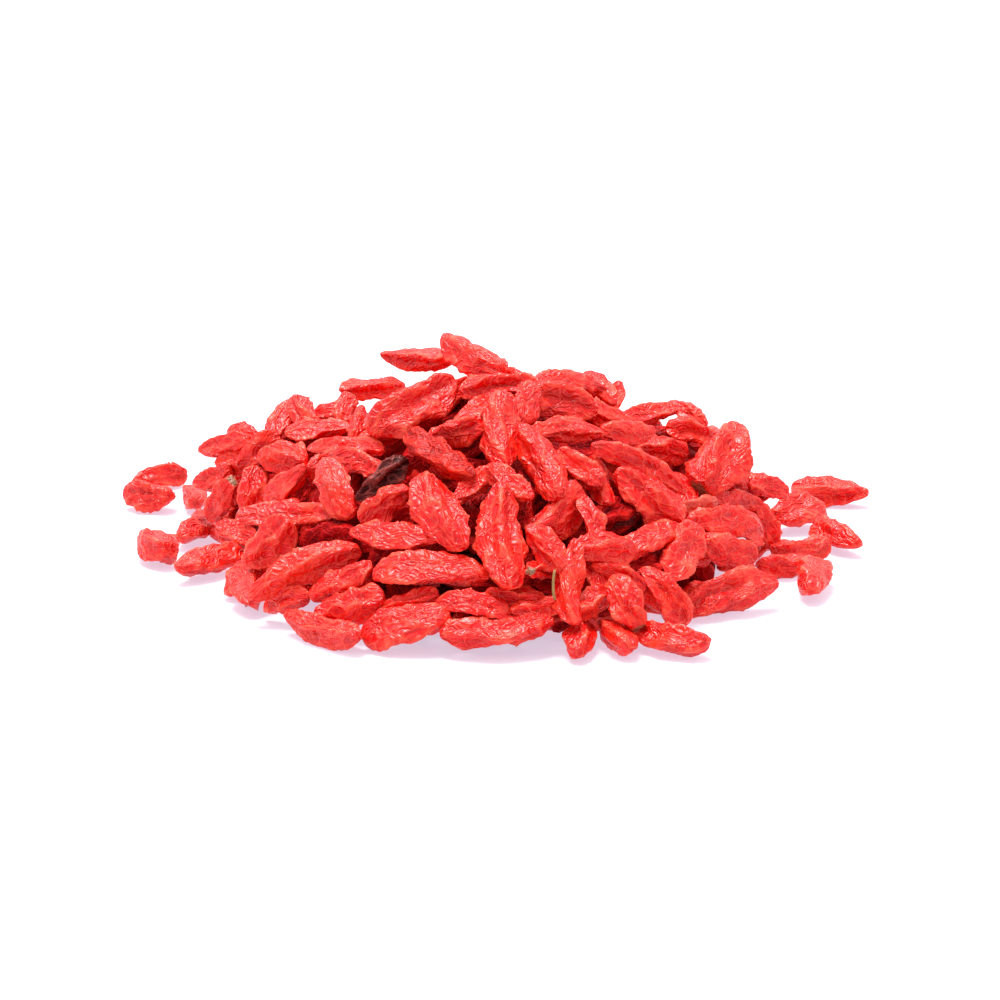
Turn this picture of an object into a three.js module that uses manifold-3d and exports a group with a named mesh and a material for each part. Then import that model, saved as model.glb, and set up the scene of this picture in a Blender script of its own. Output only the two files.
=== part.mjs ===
// A loose heap of dried goji berries, with the strays that have rolled off it.
// Millimetres, +Z up. The origin is the middle of the heap's base, on the table, and the
// front of the heap looks along -Y.
//
// Each berry is a shrunken, ridged spindle with its own size, lean and bend. The berries of
// the heap lie on each other and on a mound of berries further in, and are fused into one
// solid with it. A berry of another colour lies in its own pocket in the heap, and each
// stray lies apart on the table.
import * as THREE from 'three';
import { mergeVertices } from 'three/addons/utils/BufferGeometryUtils.js';
import Module from 'manifold-3d';

const wasm = await Module();
wasm.setup();

// Slopes of the heap: hills that run into each other, with their middle across and away,
// half their width and depth, their height, and whether they end steeply at the foot
const HILLS = [
  { across: 3, away: -2, width: 47, depth: 53, height: 33, steep: false },
  { across: -24, away: 18, width: 23, depth: 27, height: 24, steep: true },
  { across: 28, away: 14, width: 25, depth: 28, height: 24, steep: true },
];
const SLOPE_REACH = 3;         // how far to each side a slope's direction is felt
const LIFT = 1.5;              // how much one step of lift raises a berry off the slope
const CORE_INSET = { top: 1.2, foot: 2.8 }; // from the slopes to the mound of inner berries
const NO_INSET = { top: 0, foot: 0 };

// A berry under another one, as shares of the upper one, and how far it is sunk into both
const UNDER_LONG = 0.6;
const UNDER_WIDE = 0.8;
const UNDER_SUNK = 3;

// What a dried berry measures
const THIN = 0.72;             // thickness as a share of the width
const PLUMP = 0.95;            // the same for a berry that hardly shrank
const LEAST_LONG = 9.5;
const MOST_LONG = 19;
const LEAST_SLIM = 1.65;       // least length as a share of the width
const MOST_WIDE = 10.4;
const MOST_LEAN = 0.8;         // how far a berry leans to or from the front, as a slope
const SINK = 0.25;             // how far a berry on the table is flattened by lying on it

// How its skin shrank
const RIDGES = [3, 4];         // fewest and most ridges along a berry
const RIDGE_HIGH = 0.11;       // height of a ridge as a share of the radius
const MOST_TWIST = 0.5;        // turn of the ridges from middle to end, in radians
const MOST_BEND = 0.07;        // bend of the berry as a share of its length
const TIP_TAPER = 0.14;        // how much slimmer the tip is than the stem end
const SWELL = 1.08;            // makes up for the flats between few sides
const POCKET_GAP = 0.45;       // between the heap and a berry that lies in it or beside it

// Sides round and rows along: of the mound, of berries that show, that lie at the back, that
// lie under others, and that lie by themselves
const CORE_SIDES = 16;
const CORE_ROWS = 4;
const SEEN_SIDES = 6;
const SEEN_ROWS = 4;
const BACK_ROWS = 3;
const UNDER_SIDES = 4;
const UNDER_ROWS = 3;
const LONE_SIDES = 14;
const LONE_ROWS = 8;

// The front view that the berries' places are given in, 14 degrees above the table
const VIEW_RISE = THREE.MathUtils.degToRad(14);
const VIEW_DISTANCE = 475;
const VIEW_ASIDE = 3.8;
const VIEW_ABOVE = 11.5;
const SIGHT_ENDS = 75;         // how far before and behind the origin a sight line is followed
const SIGHT_STEP = 0.5;

// How a berry that shows is turned: one whose width is this share of its length shows its
// side, or its broad face, and the face leans this much to the front
const SHOWS_SIDE = 0.32;
const SHOWS_FACE = 0.62;
const SIDE_LEAN = 0.25;
const FACE_LEAN = 1.35;
const SQUARE_ON = 0.9;         // past this its thickness can't be told from its width
const FIT_ROUNDS = 3;

// Strays: middle across and up in the front view, length, width, thickness, and heading on
// the table in degrees
const STRAYS = [
  [-54.4, 15.6, 11, 7, 5.2, 35],
  [-56.4, 12.4, 10.5, 8, 6.3, -30],
  [-48.6, 12.1, 12, 5.5, 5, -76],
  [-48.5, 6.7, 14, 6.5, 5.5, 78],
  [-55, 3.8, 12, 7.6, 6.8, -60],
  [-46.2, 1, 14.5, 7, 5.8, 48],
  [60.2, 13, 14.5, 7.5, 5.6, -15],
  [54.5, 9.4, 12, 8.5, 7, 35],
  [61.2, 5.5, 13.5, 6.5, 5.8, -62],
  [55.6, 3.2, 12, 7, 5.6, 30],
  [52.2, 0.5, 10, 6, 5, 20],
  [57.3, -1.6, 15.5, 7.2, 6.2, 78],
];

// Berries that lie flat at the foot of the heap and touch it, in the same columns
const FOOT_LYING = [
  [-26.4, -10.6, 17.5, 6, 5, -46],
  [17.6, -11.9, 14, 5.6, 5.2, 82],
  [23.6, -11.6, 13.5, 5.8, 5.2, -76],
  [32.1, -12, 15, 6.4, 5.4, -38],
];

// Berries of the heap that show from the front: middle across and up in the front view,
// length and width as they show there, slant in degrees with the right end up, and lift
const FOOT = [
  [-33, -5.8, 8.5, 4.4, 15, 0],
  [-12.3, -10.1, 15.7, 7.9, 14, 0],
  [3.4, -10.9, 19.8, 6.2, 6, 0],
  [42.6, -4.3, 18.8, 7.9, 14, 0],
  [-21.7, -6.7, 12.6, 6.2, 14, 0],
];
const LEFT_FLANK = [
  [-43.8, 11.5, 8.5, 5.1, 55, 1],
  [-45.1, 15.2, 7.5, 4.4, 20, 0],
  [-43.1, 20.9, 9.9, 4.1, 10, 1],
  [-39.5, 22.4, 7.5, 4.1, -25, 1],
  [-37.6, 20, 8.2, 4.8, 40, 0],
  [-33.7, 25.1, 8.2, 3.8, 65, 1],
  [-29.9, 26.2, 6.8, 4.1, -60, 1],
  [-27.4, 23.4, 11.3, 4.1, 5, 1],
  [-33.2, 18.6, 8.5, 5.8, -10, 1],
  [-41, 17.3, 8.2, 3.8, -15, 0],
  [-39, 13, 6.8, 5.1, 80, 1],
  [-32.8, 14, 9.2, 4.8, 35, 1],
  [-24.4, 13.8, 11.3, 5.8, -62, 2],
  [-32.1, 8.9, 18.1, 5.1, 2, 1],
  [-35.6, 4.1, 11.3, 6.5, 42, 2],
  [-41, 5.3, 8.5, 4.8, -20, 0],
  [-29.9, -0.5, 20.9, 6.5, 24, 1],
  [-23.1, -2.7, 12.3, 5.8, 28, 0],
];
const FRONT = [
  [-14.5, 5.3, 15.7, 5.1, -3, 1],
  [-16.1, 10.9, 8.5, 5.8, 33, 1],
  [-6.5, 9.4, 14.7, 7.9, -58, 2],
  [-8.2, -0.7, 20.2, 6.5, 0, 1],
  [-11.6, -6.2, 9.2, 4.1, 15, 0],
  [-0.7, -6.7, 13.3, 4.8, -12, 0],
  [-0.7, 14.2, 9.2, 4.4, 38, 1],
  [5.5, 14.4, 9.6, 4.4, -35, 2],
  [4.1, 5.1, 18.1, 8, -85, 2],
  [13.3, 9.1, 12.3, 7.9, 48, 1],
  [11.8, 3.4, 8.9, 5.5, -50, 1],
  [10.6, -0.7, 7.5, 4.4, 20, 0],
  [15.9, -2.6, 14.4, 5.6, 88, 2],
  [6.5, -5.3, 10.6, 4.8, -5, 0],
  [10.6, -6.8, 8.2, 3.4, 12, 0],
  [19.1, 0.3, 7.9, 3.8, -65, 0],
  [19.1, 8.5, 8.5, 3.8, -75, 1],
  [21.2, 3.1, 11.6, 6, 0, 1],
  [19.8, -5.8, 6.8, 4.4, 30, 0],
  [10.9, 17.9, 14.4, 6.8, -64, 2],
  [17.6, 16.9, 9.2, 5.5, -40, 1],
  [20.9, 14.7, 8.9, 4.4, -75, 0],
  [14.9, 23.2, 13.3, 4.4, 2, 1],
  [3.8, 23.2, 13, 7, 92, 2],
  [-3.9, 23.2, 10.3, 5.5, 15, 1],
  [-0.3, 26.5, 8.2, 4.4, 35, 0],
  [8, 27.9, 6.5, 5.1, 70, 1],
];
const CROWN = [
  [-10.8, 27.2, 17.1, 10.6, 32, 1],
  [-22.6, 20.5, 13.7, 3.8, -3, 1],
  [-19.8, 17.6, 12.3, 4.4, -20, 0],
  [-18.1, 30.6, 10.6, 4.6, 5, 0],
  [-23.1, 26.5, 6.8, 3.8, 80, 0],
  [-20.5, 24.1, 6.2, 3.4, 80, 0],
  [-9.7, 35.9, 13.3, 4.6, -3, 2],
  [-0.9, 36.2, 12.3, 6.2, -32, 3],
  [3.8, 31.1, 14, 5.1, 5, 1],
  [14.2, 28.4, 12.6, 7.2, -10, 1],
  [15.4, 31.5, 13.3, 3.8, 0, 1],
  [20.9, 30.4, 7.2, 4.4, -50, 1],
  [22.7, 28.4, 5.8, 3.8, 60, 0],
  [22.6, 25.6, 8.9, 4.4, -20, 0],
];
const RIGHT_FLANK = [
  [25.6, 23.1, 9.6, 4.3, 3, 1],
  [29.1, 26.2, 10.6, 3.8, 12, 1],
  [31.6, 20.5, 9.2, 4.8, -8, 0],
  [36.6, 23.1, 7.5, 4.8, -15, 0],
  [35.9, 26.5, 6.2, 3.4, -35, 0],
  [27.9, 17.6, 18.5, 4.4, -26, 2],
  [29.1, 12, 14.4, 7.9, -38, 1],
  [30.3, 4.6, 11.6, 5.1, 22, 1],
  [41.7, 18.6, 13.7, 9.6, 55, 2],
  [49.6, 13.5, 7.2, 4.1, -10, 0],
  [43.9, 11.3, 9.9, 3.8, -5, 0],
  [37.6, 10.6, 6.8, 3.4, 5, 0],
  [42.6, 7.7, 13.7, 5.5, -8, 1],
  [49.1, 7.2, 7.2, 4.1, -65, 0],
  [42.9, 3.1, 9.9, 6.2, -15, 1],
  [34.5, 2.6, 9.6, 7.2, 60, 1],
  [31.8, -5, 10.3, 7.5, -50, 1],
  [25.3, -6, 10.3, 6.3, -65, 2],
  [24.3, -1.2, 7.5, 4.1, -25, 0],
];
const BROWN_BERRY = [-16.5, 15.1, 11.2, 4.8, 40, 1];
const MAROON_BERRY = [-6.8, 19, 14, 5.5, -34, 2];

// Berries of the back and the top, laid by rule on a spiral that fills the slopes evenly
const SEED = 20731;
const SPIRAL_TURN = 2.399963;  // golden angle, in radians
const SPIRAL_STEPS = 1600;
const SPIRAL_REACH = 60;
const SPIRAL_AWAY = 2;         // how far behind the origin the spiral starts
const FRONT_ENDS = -12;        // the rule lays berries from here to the back
const FRONT_SPREAD = 0.5;      // and this much further forward for each mm to the side
const BACK_LOW = 2;            // how far they lie below the slopes
const ROOM = 7.8;              // least distance between two berries' middles
const LOWEST_RULED = 0.5;
const RULE_LONG = [11, 17.5];
const RULE_WIDE = [5.2, 7.8];
const RULE_THIN = [0.66, 0.82];
const RULE_ROLL = 0.5;
const RULE_TIP = 0.35;
const SPIRAL_AHEAD = new THREE.Vector3(0, 1, 0.3);

// Settling: three balls in each berry push the berries apart where they press too hard
const SETTLE_ROUNDS = 40;
const PAIRS_EVERY = 8;
const PAIR_REACH = 3;
const BALL_PLACES = [-0.62, 0, 0.62];
const BALL_SIZES = [0.7, 1, 0.7];
const HEAP_FIRMNESS = 0.86;    // how much of its thickness a berry keeps to itself
const POCKET_FIRMNESS = 1.2;
const STRAY_FIRMNESS = 1.2;
const PUSH = 0.25;
const RETURN = 0.4;

const TABLE = { width: 400, depth: 400, thickness: 40 };

const RIGHT = new THREE.Vector3(1, 0, 0);
const UP = new THREE.Vector3(0, Math.sin(VIEW_RISE), Math.cos(VIEW_RISE));
const FRONTWARD = new THREE.Vector3(0, -Math.cos(VIEW_RISE), Math.sin(VIEW_RISE));
const SKY = new THREE.Vector3(0, 0, 1);
const EYE = sum([RIGHT, VIEW_ASIDE], [UP, VIEW_ABOVE], [FRONTWARD, VIEW_DISTANCE]);

function sum(...terms) {
  const total = new THREE.Vector3();
  for (const [vector, share] of terms) {
    total.addScaledVector(vector, share);
  }
  return total;
}

// The even draw that gives each berry its own shape
let drawState = SEED;
function draw(low, high) {
  drawState = (drawState * 16807) % 2147483647;
  return low + ((high - low) * drawState) / 2147483647;
}

// Height of the slopes, or of the mound that lies inset from them. Outside the foot it goes
// on falling below the table.
function slopeHeight(x, y, inset = NO_INSET) {
  let top = -Infinity;
  for (const hill of HILLS) {
    const across = (x - hill.across) / (hill.width - inset.foot);
    const away = (y - hill.away) / (hill.depth - inset.foot);
    const left = 1 - across * across - away * away;
    const share = hill.steep && left > 0 ? Math.sqrt(left) : left;
    top = Math.max(top, (hill.height - inset.top) * share);
  }
  return top;
}

function slopeNormal(x, y) {
  const fallAcross = slopeHeight(x - SLOPE_REACH, y) - slopeHeight(x + SLOPE_REACH, y);
  const fallAway = slopeHeight(x, y - SLOPE_REACH) - slopeHeight(x, y + SLOPE_REACH);
  return new THREE.Vector3(fallAcross, fallAway, 2 * SLOPE_REACH).normalize();
}

function sightLine(across, up) {
  return sum([RIGHT, across], [UP, up], [EYE, -1]).normalize();
}

// Where a sight line comes to the table, or to a plane above it
function onTable(across, up, height) {
  const sight = sightLine(across, up);
  return sum([EYE, 1], [sight, (height - EYE.z) / sight.z]);
}

// Where a sight line first comes to the slopes, or to the table in front of them, or else
// passes the slopes closest
function onSlope(across, up, lift, leastHeight) {
  const sight = sightLine(across, up);
  const first = (-SIGHT_ENDS - EYE.y) / sight.y;
  const last = (SIGHT_ENDS - EYE.y) / sight.y;
  let closest = null;
  let closestGap = Infinity;
  for (let way = first; way < last; way += SIGHT_STEP) {
    const point = sum([EYE, 1], [sight, way]);
    const tableHeight = point.y < 0 ? leastHeight : -Infinity;
    const gap = point.z - Math.max(slopeHeight(point.x, point.y) + lift, tableHeight);
    if (gap <= 0) {
      return point;
    }
    if (gap < closestGap) {
      closest = point;
      closestGap = gap;
    }
  }
  return closest;
}

// A berry's flat face, turned as far to the given direction as its axis lets it
function faceToward(direction, axis) {
  return sum([direction, 1], [axis, -direction.dot(axis)]).normalize();
}

// How high a berry's middle is when it rests on the table
function restHeight({ axis, face, long, wide, thick }) {
  const side = new THREE.Vector3().crossVectors(face, axis);
  const reach = (long * axis.z) ** 2 + (wide * side.z) ** 2 + (thick * face.z) ** 2;
  return Math.sqrt(reach) / 2 - SINK;
}

function lyingBerry([across, up, long, wide, thick, heading]) {
  const turn = THREE.MathUtils.degToRad(heading);
  const axis = new THREE.Vector3(Math.cos(turn), Math.sin(turn), 0);
  const berry = { axis, face: SKY.clone(), long, wide, thick };
  berry.middle = onTable(across, up, restHeight(berry));
  berry.sight = sightLine(across, up);
  return berry;
}

// A berry that shows from the front leans along the slope it lies on, but no further than
// its length allows. One that shows broad turns its flat face to the front.
function seenBerry([across, up, shownLong, shownWide, slant, lift]) {
  const { clamp, degToRad } = THREE.MathUtils;
  const turn = degToRad(slant);
  const flat = sum([RIGHT, Math.cos(turn)], [UP, Math.sin(turn)]);
  const sight = sightLine(across, up);
  const slimness = (shownWide / shownLong - SHOWS_SIDE) / (SHOWS_FACE - SHOWS_SIDE);
  const faceLean = SIDE_LEAN + (FACE_LEAN - SIDE_LEAN) * clamp(slimness, 0, 1);
  const berry = { sight, axis: flat, face: FRONTWARD, long: shownLong, wide: shownWide, thick: shownWide };
  for (let round = 0; round < FIT_ROUNDS; round += 1) {
    const middle = onSlope(across, up, lift * LIFT, restHeight(berry));
    const nearness = -sum([middle, 1], [EYE, -1]).dot(FRONTWARD) / VIEW_DISTANCE;
    const normal = slopeNormal(middle.x, middle.y);
    const longHere = shownLong * nearness;
    const wideHere = shownWide * nearness;
    const mostLean = Math.min(MOST_LEAN, Math.sqrt(Math.max(0, (MOST_LONG / longHere) ** 2 - 1)));
    const lean = clamp(-flat.dot(normal) / FRONTWARD.dot(normal), -mostLean, mostLean);
    berry.axis = sum([flat, 1], [FRONTWARD, lean]).normalize();
    berry.face = faceToward(sum([normal, 1], [FRONTWARD, faceLean]), berry.axis);
    const square = berry.face.dot(sight) ** 2;
    berry.wide = Math.min(MOST_WIDE, wideHere / Math.sqrt(square + THIN * THIN * (1 - square)));
    const thickLeft = Math.max(0, wideHere ** 2 - square * berry.wide ** 2);
    const thickHere = square < SQUARE_ON ? Math.sqrt(thickLeft / (1 - square)) : 0;
    berry.thick = clamp(thickHere, THIN * berry.wide, PLUMP * berry.wide);
    berry.long = Math.max(longHere * Math.sqrt(1 + lean * lean), LEAST_LONG, LEAST_SLIM * berry.wide);
    berry.middle = middle;
  }
  return berry;
}

// Berries on the spiral, each with its own size, heading, roll and tip, where those laid
// already leave room
function ruleBerries(laid) {
  const berries = [];
  for (let step = 0; step < SPIRAL_STEPS; step += 1) {
    const out = SPIRAL_REACH * Math.sqrt((step + 0.5) / SPIRAL_STEPS);
    const turn = step * SPIRAL_TURN;
    const x = out * Math.cos(turn);
    const y = SPIRAL_AWAY + out * Math.sin(turn);
    const long = draw(...RULE_LONG);
    const wide = draw(...RULE_WIDE);
    const thick = wide * draw(...RULE_THIN);
    const heading = draw(0, 2 * Math.PI);
    const roll = draw(-RULE_ROLL, RULE_ROLL);
    const tip = draw(-RULE_TIP, RULE_TIP);
    const top = slopeHeight(x, y);
    if (top < LOWEST_RULED || y < FRONT_ENDS - FRONT_SPREAD * Math.abs(x)) {
      continue;
    }
    const normal = slopeNormal(x, y);
    const sideways = new THREE.Vector3().crossVectors(normal, SPIRAL_AHEAD).normalize();
    const ahead = new THREE.Vector3().crossVectors(normal, sideways);
    const axis = sum([sideways, Math.cos(heading)], [ahead, Math.sin(heading)], [normal, tip]).normalize();
    const face = faceToward(sum([normal, 1], [sideways, roll]), axis);
    const berry = { axis, face, long, wide, thick };
    berry.middle = sum([new THREE.Vector3(x, y, top), 1], [normal, -BACK_LOW]);
    berry.middle.z = Math.max(berry.middle.z, restHeight(berry));
    if ([...laid, ...berries].every((other) => other.middle.distanceTo(berry.middle) >= ROOM)) {
      berries.push(berry);
    }
  }
  return berries;
}

// Berries that press too hard on each other are moved apart. One that shows from the front
// moves along its own sight line, a stray stays on the table, and none goes below the table.
function settle(berries) {
  const radii = berries.map(({ wide, thick, firmness = HEAP_FIRMNESS }) => ((wide + thick) / 4) * firmness);
  const homes = berries.map((berry) => berry.middle.clone());
  let pairs = [];
  for (let round = 0; round < SETTLE_ROUNDS; round += 1) {
    if (round % PAIRS_EVERY === 0) {
      pairs = nearPairs(berries);
    }
    for (const [i, j] of pairs) {
      for (const [a, placeA] of BALL_PLACES.entries()) {
        for (const [b, placeB] of BALL_PLACES.entries()) {
          const ballA = sum([berries[i].middle, 1], [berries[i].axis, (placeA * berries[i].long) / 2]);
          const ballB = sum([berries[j].middle, 1], [berries[j].axis, (placeB * berries[j].long) / 2]);
          const apart = ballA.sub(ballB);
          const distance = apart.length();
          const wanted = radii[i] * BALL_SIZES[a] + radii[j] * BALL_SIZES[b];
          if (distance > 1e-6 && distance < wanted) {
            const push = (PUSH * (wanted - distance)) / distance;
            berries[i].middle.addScaledVector(apart, push);
            berries[j].middle.addScaledVector(apart, -push);
          }
        }
      }
    }
    for (const [i, berry] of berries.entries()) {
      if (berry.sight) {
        const drift = sum([berry.middle, 1], [homes[i], -1]);
        const aside = sum([drift, 1], [berry.sight, -drift.dot(berry.sight)]);
        berry.middle.addScaledVector(aside, -RETURN);
      }
      const rest = restHeight(berry);
      berry.middle.z = berry.loose ? rest : Math.max(berry.middle.z, rest);
    }
  }
}

function nearPairs(berries) {
  const pairs = [];
  for (let i = 0; i < berries.length; i += 1) {
    for (let j = 0; j < i; j += 1) {
      const reach = (berries[i].long + berries[j].long) / 2 + PAIR_REACH;
      if (berries[i].middle.distanceTo(berries[j].middle) < reach) {
        pairs.push([i, j]);
      }
    }
  }
  return pairs;
}

// Each berry's own ridges, twist, bend and tip
function drawShape(berry) {
  berry.ridges = Math.round(draw(RIDGES[0] - 0.5, RIDGES[1] + 0.5));
  berry.phase = draw(0, 2 * Math.PI);
  berry.twist = draw(-MOST_TWIST, MOST_TWIST);
  berry.sideBend = draw(-MOST_BEND, MOST_BEND) * berry.long;
  berry.faceBend = draw(-MOST_BEND, MOST_BEND) * berry.long;
  berry.tip = draw(-1, 1) < 0 ? -1 : 1;
}

// Leaves only the vertices' places, each once
function plainGeometry(geometry) {
  geometry.deleteAttribute('normal');
  geometry.deleteAttribute('uv');
  return mergeVertices(geometry);
}

// A ball drawn out into a berry. grow is added on every side.
function berryGeometry(berry, sides, rows, grow = 0) {
  const side = new THREE.Vector3().crossVectors(berry.face, berry.axis);
  const geometry = plainGeometry(new THREE.SphereGeometry(1, sides, rows));
  const places = geometry.getAttribute('position');
  for (let i = 0; i < places.count; i += 1) {
    const along = places.getY(i);
    const around = Math.atan2(places.getZ(i), places.getX(i));
    const girth = Math.hypot(places.getX(i), places.getZ(i));
    const ridge = 1 + RIDGE_HIGH * Math.cos(berry.ridges * around);
    const taper = 1 - TIP_TAPER * berry.tip * along;
    const radius = girth * ridge * taper * SWELL;
    const turn = around + berry.phase + berry.twist * along;
    const bow = along * along - 1 / 3;
    const point = sum(
      [berry.middle, 1],
      [berry.axis, along * (berry.long / 2 + grow)],
      [side, radius * Math.sin(turn) * (berry.wide / 2 + grow) + bow * berry.sideBend],
      [berry.face, radius * Math.cos(turn) * (berry.thick / 2 + grow) + bow * berry.faceBend],
    );
    places.setXYZ(i, point.x, point.y, point.z);
  }
  return geometry;
}

// The berry that lies under another one, between it and the mound or the table
function berryUnder(berry) {
  const { x, y, z } = berry.middle;
  const drop = z - Math.max(0, slopeHeight(x, y, CORE_INSET));
  return {
    ...berry,
    middle: new THREE.Vector3(x, y, z - drop / 2),
    face: faceToward(SKY, berry.axis),
    long: berry.long * UNDER_LONG,
    wide: berry.wide * UNDER_WIDE,
    thick: drop + UNDER_SUNK,
  };
}

// The mound of berries further in, one dome for each hill
function coreGeometry(hill) {
  const outline = [new THREE.Vector2(0, 0)];
  for (let row = 0; row <= CORE_ROWS; row += 1) {
    const out = 1 - row / CORE_ROWS;
    const height = hill.steep ? Math.sqrt(1 - out * out) : 1 - out * out;
    outline.push(new THREE.Vector2(out, height));
  }
  const dome = new THREE.LatheGeometry(outline, CORE_SIDES);
  dome.rotateX(Math.PI / 2);
  const { top, foot } = CORE_INSET;
  dome.scale(hill.width - foot, hill.depth - foot, hill.height - top);
  dome.translate(hill.across, hill.away, 0);
  return plainGeometry(dome);
}

function tableGeometry() {
  const table = new THREE.BoxGeometry(TABLE.width, TABLE.depth, TABLE.thickness);
  table.translate(0, 0, -TABLE.thickness / 2);
  return plainGeometry(table);
}

function toSolid(geometry) {
  const vertProperties = new Float32Array(geometry.getAttribute('position').array);
  const triVerts = new Uint32Array(geometry.getIndex().array);
  return new wasm.Manifold(new wasm.Mesh({ numProp: 3, vertProperties, triVerts }));
}

function toGeometry(solid) {
  const mesh = solid.getMesh();
  const places = new Float32Array(mesh.vertProperties);
  const corners = new Uint32Array(mesh.triVerts);
  const geometry = new THREE.BufferGeometry();
  geometry.setAttribute('position', new THREE.BufferAttribute(places, 3));
  geometry.setIndex(new THREE.BufferAttribute(corners, 1));
  geometry.computeVertexNormals();
  return geometry;
}

// The outer body alone: hollows between the berries are filled, and scraps dropped
function largestBody(solid) {
  const bodies = solid.decompose();
  return bodies.reduce((best, body) => (body.volume() > best.volume() ? body : best));
}

// The berries in their places
const strays = STRAYS.map((row) => ({ ...lyingBerry(row), loose: true, firmness: STRAY_FIRMNESS }));
const footLying = FOOT_LYING.map(lyingBerry);
const brownBerry = { ...seenBerry(BROWN_BERRY), firmness: POCKET_FIRMNESS };
const maroonBerry = { ...seenBerry(MAROON_BERRY), firmness: POCKET_FIRMNESS };
const seen = [...FOOT, ...LEFT_FLANK, ...FRONT, ...CROWN, ...RIGHT_FLANK].map(seenBerry);
const laid = [...strays, ...footLying, brownBerry, maroonBerry, ...seen];
const ruled = ruleBerries(laid);
const everyBerry = [...laid, ...ruled];
settle(everyBerry);
everyBerry.forEach(drawShape);

// The mound and the berries on it, joined. A berry that doesn't touch the rest yet gets
// another one under it.
const heapBerries = [...footLying, ...seen, ...ruled];
const berrySolids = heapBerries.map((berry) => {
  const rows = berry.sight ? SEEN_ROWS : BACK_ROWS;
  return toSolid(berryGeometry(berry, SEEN_SIDES, rows));
});
const coreSolids = HILLS.map((hill) => toSolid(coreGeometry(hill)));
let heapSolid = [...coreSolids, ...berrySolids].reduce((solid, other) => solid.add(other));
const held = largestBody(heapSolid);
heapBerries.forEach((berry, index) => {
  if (held.intersect(berrySolids[index]).isEmpty()) {
    const under = berryGeometry(berryUnder(berry), UNDER_SIDES, UNDER_ROWS);
    heapSolid = heapSolid.add(toSolid(under));
  }
});

// Pockets for the berries that lie in the heap or lean to it, and the flat underside
for (const berry of [brownBerry, maroonBerry, ...strays]) {
  const pocket = berryGeometry(berry, LONE_SIDES, LONE_ROWS, POCKET_GAP);
  heapSolid = heapSolid.subtract(toSolid(pocket));
}
const underTable = toSolid(tableGeometry());
heapSolid = largestBody(heapSolid.subtract(underTable));

const red = new THREE.MeshStandardMaterial({ color: 0xd9282a, roughness: 0.5, metalness: 0 });
const brown = new THREE.MeshStandardMaterial({ color: 0x5a1d16, roughness: 0.6, metalness: 0 });
const maroon = new THREE.MeshStandardMaterial({ color: 0x9a1c14, roughness: 0.5, metalness: 0 });

const part = new THREE.Group();
function addMesh(name, solid, material) {
  const mesh = new THREE.Mesh(toGeometry(solid), material);
  mesh.name = name;
  part.add(mesh);
}

function addLoneBerry(name, berry, material) {
  const solid = toSolid(berryGeometry(berry, LONE_SIDES, LONE_ROWS));
  addMesh(name, solid.subtract(underTable), material);
}

addMesh('heap', heapSolid, red);
addLoneBerry('brown_berry', brownBerry, brown);
addLoneBerry('maroon_berry', maroonBerry, maroon);
strays.forEach((berry, index) => addLoneBerry(`stray_${index + 1}`, berry, red));

export default part;
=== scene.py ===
import math

import bmesh
import bpy
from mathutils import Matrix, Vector, noise


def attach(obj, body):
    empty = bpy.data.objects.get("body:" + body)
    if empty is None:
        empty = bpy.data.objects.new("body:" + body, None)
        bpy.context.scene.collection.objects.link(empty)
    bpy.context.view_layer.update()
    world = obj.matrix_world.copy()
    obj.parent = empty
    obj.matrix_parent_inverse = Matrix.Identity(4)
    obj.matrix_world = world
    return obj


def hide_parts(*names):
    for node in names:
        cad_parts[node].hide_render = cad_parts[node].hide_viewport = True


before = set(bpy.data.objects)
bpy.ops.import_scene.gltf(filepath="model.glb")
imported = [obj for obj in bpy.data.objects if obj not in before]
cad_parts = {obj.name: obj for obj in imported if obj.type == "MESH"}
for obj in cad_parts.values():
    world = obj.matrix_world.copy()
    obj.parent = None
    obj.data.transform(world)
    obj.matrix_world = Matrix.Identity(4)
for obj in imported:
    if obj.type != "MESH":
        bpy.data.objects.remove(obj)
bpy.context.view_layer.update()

# Camera: it looks at the front of the heap from low above the table, through a long lens.
# Lengths are in millimetres here and in all that follows, up to the finished meshes.
MM = 0.001
VIEW_RISE = math.radians(14)
VIEW_DISTANCE = 475
VIEW_ASIDE = 3.8
VIEW_ABOVE = 11.5
LENS = 100
SENSOR = 36
NEAREST = 0.01
FARTHEST = 10

RIGHT = Vector((1, 0, 0))
UP = Vector((0, math.sin(VIEW_RISE), math.cos(VIEW_RISE)))
FRONTWARD = Vector((0, -math.cos(VIEW_RISE), math.sin(VIEW_RISE)))
EYE = RIGHT * VIEW_ASIDE + UP * VIEW_ABOVE + FRONTWARD * VIEW_DISTANCE

camera = bpy.data.objects.new("camera", bpy.data.cameras.new("camera"))
bpy.context.scene.collection.objects.link(camera)
camera.data.lens = LENS
camera.data.sensor_width = SENSOR
camera.data.clip_start = NEAREST
camera.data.clip_end = FARTHEST
camera.location = EYE * MM
camera.rotation_euler = (math.pi / 2 - VIEW_RISE, 0, 0)
bpy.context.scene.camera = camera

# Slopes: the form that the berries took when they were poured out, three low hills that run
# into each other. Each is its middle across and away, half its width and depth, its height,
# and whether it ends steeply at the foot.
HILLS = [
    (3, -2, 47, 53, 33, False),
    (-24, 18, 23, 27, 24, True),
    (28, 14, 25, 28, 24, True),
]
SLOPE_REACH = 3
LIFT = 1.5
SIGHT_ENDS = 75
SIGHT_STEP = 0.5


def slope_height(x, y):
    top = -math.inf
    for across, away, width, depth, height, steep in HILLS:
        left = 1 - ((x - across) / width) ** 2 - ((y - away) / depth) ** 2
        share = math.sqrt(left) if steep and left > 0 else left
        top = max(top, height * share)
    return top


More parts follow.
